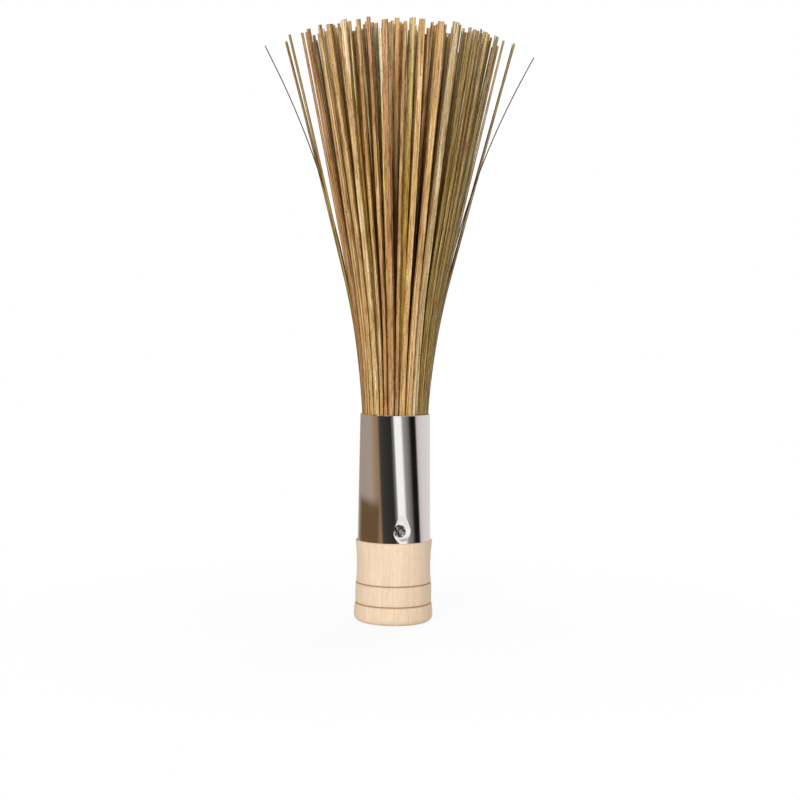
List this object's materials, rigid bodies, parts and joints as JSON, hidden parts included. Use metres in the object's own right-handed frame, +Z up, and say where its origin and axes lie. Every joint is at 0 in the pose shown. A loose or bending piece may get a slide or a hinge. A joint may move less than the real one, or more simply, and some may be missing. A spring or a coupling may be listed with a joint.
{
  "type": "bamboo wok brush",
  "caption": "Sheaf of split bamboo fanning out of a tapered steel ferrule, pinned to a turned wooden base that serves as grip and stand; scrubs a hot wok.",
  "frame": {"origin": "centre of the flat foot of the wooden base", "axes": "+Z up the brush from foot to tips, -Y towards the side with the screw"},
  "size_m": [0.1356, 0.0952, 0.2955],
  "materials": {
    "turned_wood": "sanded, unvarnished",
    "ferrule_steel": "polished",
    "screw_steel": "polished",
    "bamboo": "split, unvarnished"
  },
  "bodies": {
    "root": {"base": "turned_wood", "ferrule": "ferrule_steel", "outer_splint_01": "bamboo", "outer_splint_02": "bamboo", "outer_splint_03": "bamboo", "outer_splint_04": "bamboo", "outer_splint_05": "bamboo", "outer_splint_06": "bamboo", "outer_splint_07": "bamboo", "outer_splint_08": "bamboo", "outer_splint_09": "bamboo", "outer_splint_10": "bamboo", "outer_splint_11": "bamboo", "outer_splint_12": "bamboo", "outer_splint_13": "bamboo", "outer_splint_14": "bamboo", "outer_splint_15": "bamboo", "outer_splint_16": "bamboo", "outer_splint_17": "bamboo", "outer_splint_18": "bamboo", "outer_splint_19": "bamboo", "outer_splint_20": "bamboo", "outer_splint_21": "bamboo", "outer_splint_22": "bamboo", "outer_splint_23": "bamboo", "outer_splint_24": "bamboo", "outer_splint_25": "bamboo", "outer_splint_26": "bamboo", "outer_splint_27": "bamboo", "outer_splint_28": "bamboo", "outer_splint_29": "bamboo", "outer_splint_30": "bamboo", "outer_splint_31": "bamboo", "outer_splint_32": "bamboo", "outer_splint_33": "bamboo", "outer_splint_34": "bamboo", "outer_splint_35": "bamboo", "outer_splint_36": "bamboo", "outer_splint_37": "bamboo", "outer_splint_38": "bamboo", "outer_splint_39": "bamboo", "screw": "screw_steel", "splint_row_2": "bamboo", "splint_row_3": "bamboo", "splint_row_4": "bamboo", "splint_row_5": "bamboo", "splint_row_6": "bamboo", "splint_row_7": "bamboo", "splint_row_8": "bamboo", "splint_row_9": "bamboo"}
  },
  "joints": []
}
